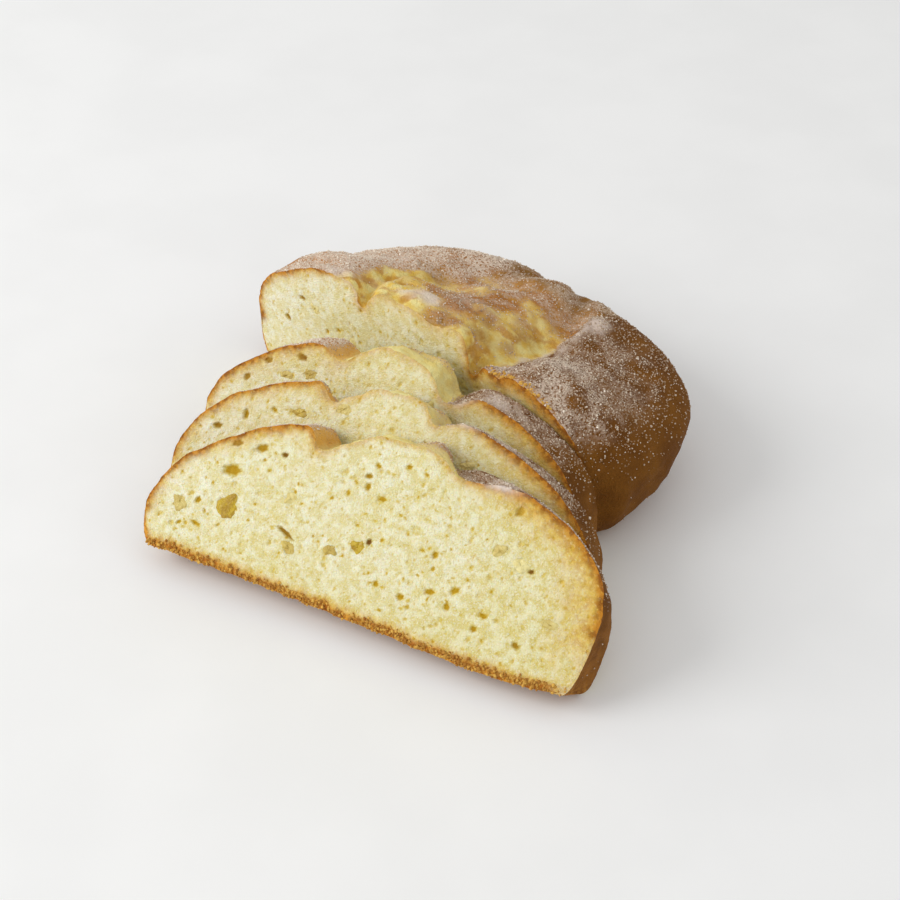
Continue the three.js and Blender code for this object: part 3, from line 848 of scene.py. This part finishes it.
def crumb_material():
    look = Finish("crumb", roughness=0.75, specular=0.2, subsurface=0.2)
    pale = look.mix(look.grain(2.6, 0.38, 0.62), (239, 230, 178), (250, 247, 220))
    warm = look.mix(look.grain(2.6, 0.38, 0.62), (229, 214, 138), (243, 236, 188))
    base = look.mix(look.field("warm"), pale, warm)
    base = look.cover(base, look.grain(0.9, 0.5, 0.7), 0.4, (226, 206, 110))
    base = look.cover(base, look.cells(1.3, 0.1, 0.34), 0.5, (222, 200, 104))
    base = look.cover(base, look.grain(0.45, 0.5, 0.68), 0.55, (255, 254, 238))
    pore = look.mix(look.grain(1.2), (230, 204, 78), (208, 174, 42))
    base = look.mix(look.field("pore"), base, pore)
    # A deeper gold: the strongest pores' own yellow, and painted shade in the holes
    base = look.cover(base, look.step(look.field("pore"), 0.7, 1), 0.75, (194, 148, 10))
    # Brown painted shade in the darkest holes
    base = look.mix(look.field("deep"), base, (128, 84, 28))
    gold = look.mix(look.grain(1.6), (238, 200, 88), (214, 162, 50))
    golden = look.times(look.field("golden"), look.grain(0.8, 0.1, 0.5))
    base = look.mix(golden, base, gold)
    rim = look.mix(look.grain(2, 0.4, 0.6), (206, 138, 42), (152, 88, 22))
    edge = look.times(look.field("edge"), look.grain(1.1, 0.12, 0.45))
    base = look.mix(edge, base, rim)
    band = look.mix(look.grain(1.6), (228, 164, 60), (186, 112, 34))
    band = look.cover(band, look.grain(1.1, 0.55, 0.66), 0.8, (120, 66, 20))
    base = look.mix(look.field("bottom"), base, band)
    base = look.mix(look.field("glaze"), base, (240, 226, 214))
    look.bump(look.grain(0.5, 0.25, 0.75, 4), 0.2)
    return look.paint(base)


def crust_material():
    look = Finish("sugared_crust", roughness=0.75, specular=0.1)
    tone = look.math("ADD", look.times(look.field("dark"), 0.88),
                     look.times(look.grain(3, 0.25, 0.75), 0.12))
    base = look.mix(look.step(tone, 0.1, 0.5), (238, 184, 88), (190, 126, 56))
    deep = look.mix(look.grain(9, 0.3, 0.7), (134, 86, 28), (112, 68, 22))
    base = look.mix(look.step(tone, 0.45, 0.95), base, deep)
    torn = look.mix(look.grain(3.2), (255, 238, 160), (246, 208, 98))
    torn = look.cover(torn, look.grain(5, 0.48, 0.64), 0.7, (200, 134, 52))
    base = look.mix(look.field("torn"), base, torn)
    # Painted light: a slice's torn dough is painted a light cream, lighter than its own where
    # slices shade it
    cream_and_painted_light = look.mix(look.times(look.grain(3), 0.6), (255, 244, 172), (255, 228, 124))
    base = look.mix(look.field("cream_and_painted_light"), base, cream_and_painted_light)
    # Painted shade: the crust is painted a darker amber in its hollows
    base = look.cover(base, look.field("hollow"), 0.7, (186, 136, 48))
    frost = look.times(look.field("frost"), look.grain(0.8, 0.3, 0.62, 2))
    base = look.mix(frost, base, (234, 212, 192))
    base = look.cover(base, look.field("glaze"), 0.85, (238, 220, 206))
    under = look.mix(look.grain(1.4), (186, 128, 52), (128, 78, 28))
    base = look.mix(look.field("low"), base, under)
    look.bump(look.grain(0.6, 0.25, 0.75, 4), 0.3)
    return look.paint(base)


def sugar_material():
    look = Finish("sugar", roughness=0.15, specular=0.7)
    # Painted highlights: grains run from the crust's brown, seen through them, to white glints
    return look.paint(look.mix(look.field("painted_glint_and_see_through"), (164, 126, 86), (242, 228, 208)))


def peel_material():
    look = Finish("candied_peel", roughness=0.35, specular=0.5)
    pale = look.mix(look.grain(2.4), (242, 230, 166), (232, 214, 132))
    rich = look.mix(look.grain(2.4), (208, 176, 38), (176, 138, 18))
    look.bump(look.grain(0.9), 0.2)
    return look.paint(look.mix(look.field("yellow"), pale, rich))


def crumbs_material():
    look = Finish("crust_crumbs", roughness=0.8, specular=0.2)
    base = look.mix(look.field("toast"), (238, 190, 92), (170, 108, 40))
    look.bump(look.grain(0.5), 0.15)
    return look.paint(base)


# Scattered things

def on_triangles(rng, points, faces, weights, count):
    """Random points on triangles, their normals and which triangle, more where weights say."""
    a, b, c = (points[faces[:, k]] for k in range(3))
    cross = np.cross(b - a, c - a)
    area = np.linalg.norm(cross, axis=1)
    chance = area * weights
    picked = rng.choice(len(faces), count, p=chance / chance.sum())
    r, s = rng.random((2, count, 1))
    flip = r + s > 1
    r, s = np.where(flip, 1 - r, r), np.where(flip, 1 - s, s)
    spots = a[picked] + (b - a)[picked] * r + (c - a)[picked] * s
    return spots, cross[picked] / area[picked, None], picked


def random_turns(rng, count):
    """Rotation matrices from random unit quaternions."""
    drawn = rng.normal(size=(4, count))
    w, x, y, z = drawn / np.linalg.norm(drawn, axis=0)
    return np.moveaxis(np.array([
        [1 - 2 * (y * y + z * z), 2 * (x * y - z * w), 2 * (x * z + y * w)],
        [2 * (x * y + z * w), 1 - 2 * (x * x + z * z), 2 * (y * z - x * w)],
        [2 * (x * z - y * w), 2 * (y * z + x * w), 1 - 2 * (x * x + y * y)]]), -1, 0)


CUBE = np.array([(x, y, z) for x in (-1, 1) for y in (-1, 1) for z in (-1, 1)]) / 2
CUBE_FACES = np.array([(0, 1, 3), (0, 3, 2), (4, 6, 7), (4, 7, 5), (0, 4, 5), (0, 5, 1),
                       (2, 3, 7), (2, 7, 6), (0, 2, 6), (0, 6, 4), (1, 5, 7), (1, 7, 3)])


def scatter(rng, shape, shape_faces, spots, normals, sizes, bury, uneven):
    """Copies of a small shape, each turned and misshapen, sunk a little into what it lies on."""
    count = len(spots)
    bodies = shape[None] * (1 + uneven * rng.uniform(-1, 1, (count, len(shape), 3)))
    bodies = bodies * rng.uniform(0.7, 1.15, (count, 1, 3)) * sizes[:, None, None]
    bodies = np.einsum("nij,nkj->nki", random_turns(rng, count), bodies)
    middles = spots + normals * (sizes * (0.5 - bury))[:, None]
    points = (bodies + middles[:, None]).reshape(-1, 3)
    faces = shape_faces[None] + (np.arange(count) * len(shape))[:, None, None]
    return points, faces.reshape(-1, 3)


# The object

rng = np.random.default_rng(RANDOM_SEED)
crumb, crust = crumb_material(), crust_material()
skins = {}
for name in STANDS:
    skin = skins[name] = build_skin(name, rng)
    skin["points"] = stand_up(name, skin["places"])
    piece = make_object(name + "_bread", skin["points"], skin["faces"], [crust, crumb],
                        skin["crumb"].astype(np.int32), skin["fields"])
    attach(piece, "root")
    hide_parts(name)


# The sugar's grains: how many, from which size to which, and the share of each that is sunk in
SUGAR_KINDS = {
    "sugar_coarse": {"count": 1500, "low": 0.34, "high": 0.54, "bury": 0.3},
    "sugar_fine": {"count": 16600, "low": 0.18, "high": 0.34, "bury": 0.25},
}
SUGAR_FOCUS = 1.3  # the higher, the more they keep to the most sugared crust
SUGAR_UNEVEN = 0.25
# How white grains are painted: a few as glints of light, more where light crust shows through
SHINE_RARITY = 3  # the higher, the fewer grains shine on dark crust
SHINE_ON_LIGHT = 0.8  # how much more they shine on frosted or torn crust


def all_crust():
    """The crust of every piece as one set of triangles, with each one's sugar and how light."""
    parts, first = [], 0
    for skin in skins.values():
        chosen, fields = skin["faces"][~skin["crumb"]], skin["fields"]
        light = np.maximum(fields["frost"], fields["torn"])[chosen].mean(1)
        parts.append((skin["points"], chosen + first, fields["sugar"][chosen].mean(1), light))
        first += len(skin["points"])
    return (np.concatenate(part) for part in zip(*parts))


crust_points, crust_faces, crust_sugar, crust_light = all_crust()
sugar = sugar_material()
for name, kind in SUGAR_KINDS.items():
    spots, normals, under = on_triangles(rng, crust_points, crust_faces,
                                         crust_sugar ** SUGAR_FOCUS, kind["count"])
    grain_sizes = rng.uniform(kind["low"], kind["high"], kind["count"]) * MM
    points, faces = scatter(rng, CUBE, CUBE_FACES, spots, normals, grain_sizes,
                            bury=kind["bury"], uneven=SUGAR_UNEVEN)
    painted_glint_and_see_through = rng.random(kind["count"]) ** SHINE_RARITY + SHINE_ON_LIGHT * crust_light[under]
    painted_glint_and_see_through = np.repeat(painted_glint_and_see_through.clip(0, 1), len(CUBE))
    piece = make_object(name, points, faces, [sugar], fields={"painted_glint_and_see_through": painted_glint_and_see_through}, smooth=False)
    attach(piece, "root")


# Crumbs hang on the slices' low cut edges, most on the front one's, and on the loaf's torn edge

COLLAR = np.array([(0.9, 0, 0.4), (0.3, 0.85, 0.4), (-0.7, 0.5, 0.4), (-0.7, -0.5, 0.4),
                   (0.3, -0.85, 0.4)])
LUMP = np.concatenate([[(0, 0, 1)], COLLAR, np.roll(-COLLAR, 2, 0), [(0, 0, -1)]]) / 2
FIFTHS = [(k, k % 5 + 1) for k in range(1, 6)]
LUMP_FACES = np.array([(0, k, after) for k, after in FIFTHS]
                      + [(k, k + 5, after) for k, after in FIFTHS]
                      + [(k + 5, after + 5, after) for k, after in FIFTHS]
                      + [(11, after + 5, k + 5) for k, after in FIFTHS])
CRUMBS = {"slice_front": 1500, "slice_middle": 350, "slice_back": 350, "loaf": 260}
LOAF_TOAST = 0.3  # how toasted the loaf's are, as a share of the others
CRUMB_SMALLEST = 0.22
CRUMB_SPREAD = 0.95
CRUMB_BURY = 0.35
CRUMB_UNEVEN = 0.3
FLOOR_GIVE = 0.1  # how far a crumb may go into the floor


def crumb_spots(name, count):
    """Places for crumbs, low on a slice's cut face or where the loaf's crust is torn off."""
    skin = skins[name]
    chosen = skin["faces"][skin["crumb"] == (name != "loaf")]
    if name == "loaf":
        weights = skin["fields"]["wedge"][chosen].mean(1) ** 2
    else:
        middles = skin["places"][chosen].mean(1)
        near_floor = 1 - ramp(middles[:, 2], 0.2, 4.5)
        front = middles[:, 1] < CUT_THICKNESS / 2
        weights = skin["fields"]["bottom"][chosen].mean(1) * near_floor * front
    return on_triangles(rng, skin["points"], chosen, weights, count)[:2]


spots, normals = (np.concatenate(part) for part in zip(
    *(crumb_spots(name, count) for name, count in CRUMBS.items())))
crumb_sizes = (CRUMB_SMALLEST + CRUMB_SPREAD * rng.random(len(spots)) ** 2) * MM
points, faces = scatter(rng, LUMP, LUMP_FACES, spots, normals, crumb_sizes,
                        bury=CRUMB_BURY, uneven=CRUMB_UNEVEN)
points[:, 2] = np.maximum(points[:, 2], -FLOOR_GIVE * MM)
toast = rng.random(len(spots))
toast[-CRUMBS["loaf"]:] *= LOAF_TOAST
toast = np.repeat(toast, len(LUMP))
piece = make_object("crust_crumbs", points, faces, [crumbs_material()],
                    fields={"toast": toast}, smooth=False)
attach(piece, "root")


# Each piece of peel lies in its own bed, and has this many rings, of this many points
PEEL_ACROSS, PEEL_AROUND = 14, 22
PEEL_POLE = 0.02  # how near the first ring is to the pole, in radians
PEEL_BLOCKINESS = 0.55  # 1 is a ball, and less is nearer to a block
PEEL_HALF_DEPTH = 0.75
PEEL_SET_IN = 0.78  # how far its middle is behind the cut's plane
PEEL_FULLNESS = 1.04


def peel_block():
    """A rounded block of radius 1 and its triangles."""
    polar = np.linspace(PEEL_POLE, math.pi - PEEL_POLE, PEEL_ACROSS)[:, None]
    turn = np.linspace(0, 2 * math.pi, PEEL_AROUND, endpoint=False)[None]

    def bent(value):
        return np.sign(value) * np.abs(value) ** PEEL_BLOCKINESS

    block = np.stack([bent(np.sin(polar)) * bent(np.cos(turn)),
                      bent(np.cos(polar)) * np.ones_like(turn),
                      bent(np.sin(polar)) * bent(np.sin(turn))], -1)
    ids = np.arange(PEEL_ACROSS * PEEL_AROUND).reshape(PEEL_ACROSS, PEEL_AROUND)
    band = triangles(np.concatenate([ids, ids[:, :1]], 1))[:, ::-1]
    fans = [np.array([(row[0], row[k], row[k + 1])[::way] for k in range(1, PEEL_AROUND - 1)])
            for row, way in ((ids[0], 1), (ids[-1], -1))]
    return block, np.concatenate([band, *fans])


def peel_lump(name, block, u, v, long, wide, angle):
    """One piece of peel in its bed, as points of the frame."""
    facing = np.arctan2(block[..., 2], block[..., 0])
    uneven = 0.14 * np.sin(2 * facing + u) + 0.12 * np.sin(3 * facing + v)
    uneven = uneven + 0.07 * np.sin(5 * facing + u + v)
    uneven = PEEL_FULLNESS + uneven + 0.1 * rough(block * 3 + u, 2.5, seed=50, octaves=2)
    body = block * (long / 2, PEEL_HALF_DEPTH, wide / 2) * uneven[..., None]
    x, y, z = np.moveaxis(body, -1, 0)
    cosine, sine = math.cos(math.radians(angle)), math.sin(math.radians(angle))
    body = np.stack([x * cosine - z * sine + u, y + PEEL_SET_IN, x * sine + z * cosine + v], -1)
    return stand_up(name, body.reshape(-1, 3))


def peel_lumps():
    """The pieces of peel in all cut faces: their points, triangles, and how yellow each is."""
    block, shell = peel_block()
    parts = []
    for name, listed in PEEL.items():
        for *lie, yellow in listed:
            points = peel_lump(name, block, *lie)
            faces = shell + len(points) * len(parts)
            parts.append((points, faces, np.full(len(points), float(yellow))))
    return (np.concatenate(part) for part in zip(*parts))


points, faces, yellows = peel_lumps()
piece = make_object("candied_peel", points, faces, [peel_material()], fields={"yellow": yellows})
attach(piece, "root")


# The floor, the light and the camera, in metres

FLOOR_HALF = 4.0
SKY_STRENGTH = 0.68
KEY_PLACE = Vector((-0.66, -0.86, 0.7))
KEY_TARGET = Vector((0, 0, 0.02))
KEY_SIZE = 0.9
KEY_POWER = 7.6

floor_look = Finish("pale_floor", roughness=0.9, specular=0.1)
floor_paint = floor_look.mix(floor_look.grain(60), (247, 247, 246), (250, 250, 249))
corners = [(FLOOR_HALF * x, FLOOR_HALF * y, 0) for x, y in ((-1, -1), (1, -1), (1, 1), (-1, 1))]
floor = make_object("floor", corners, [(0, 1, 2, 3)], [floor_look.paint(floor_paint)],
                    smooth=False)

scene = bpy.context.scene
scene.view_settings.view_transform = "Standard"
world = bpy.data.worlds.new("soft_studio")
world.use_nodes = True
background = world.node_tree.nodes["Background"].inputs
background["Color"].default_value = (1, 1, 1, 1)
background["Strength"].default_value = SKY_STRENGTH
scene.world = world


def aim(name, data, place, backwards):
    """A light or camera at this place, with its back towards backwards."""
    thing = bpy.data.objects.new(name, data)
    thing.location = place
    thing.rotation_euler = backwards.to_track_quat("Z", "Y").to_euler()
    scene.collection.objects.link(thing)
    return thing


light = bpy.data.lights.new("key", "AREA")
light.shape = "DISK"
light.size = KEY_SIZE
light.energy = KEY_POWER
aim("key", light, KEY_PLACE, KEY_PLACE - KEY_TARGET)

# The photograph's viewpoint, from a fit to the cut faces' outlines: turned this far round the
# object, this high and this far away, with the middle of the picture a few pixels off
CAMERA_AZIMUTH = math.radians(43.11548)
CAMERA_ELEVATION = math.radians(39.44298)
CAMERA_DISTANCE = 0.55913
CAMERA_LENS = 72
CAMERA_SENSOR = 36
PHOTO_SIZE = 900  # pixels
CAMERA_SHIFT = (-2.485 / PHOTO_SIZE, 0.877 / PHOTO_SIZE)

camera_data = bpy.data.cameras.new("photo_view")
camera_data.lens = CAMERA_LENS
camera_data.sensor_width = CAMERA_SENSOR
camera_data.shift_x, camera_data.shift_y = CAMERA_SHIFT
target = Vector((*ORIGIN_SHIFT, 0)) * MM
backwards = Vector((math.sin(CAMERA_AZIMUTH) * math.cos(CAMERA_ELEVATION),
                    -math.cos(CAMERA_AZIMUTH) * math.cos(CAMERA_ELEVATION),
                    math.sin(CAMERA_ELEVATION)))
scene.camera = aim("photo_view", camera_data, target + backwards * CAMERA_DISTANCE, backwards)
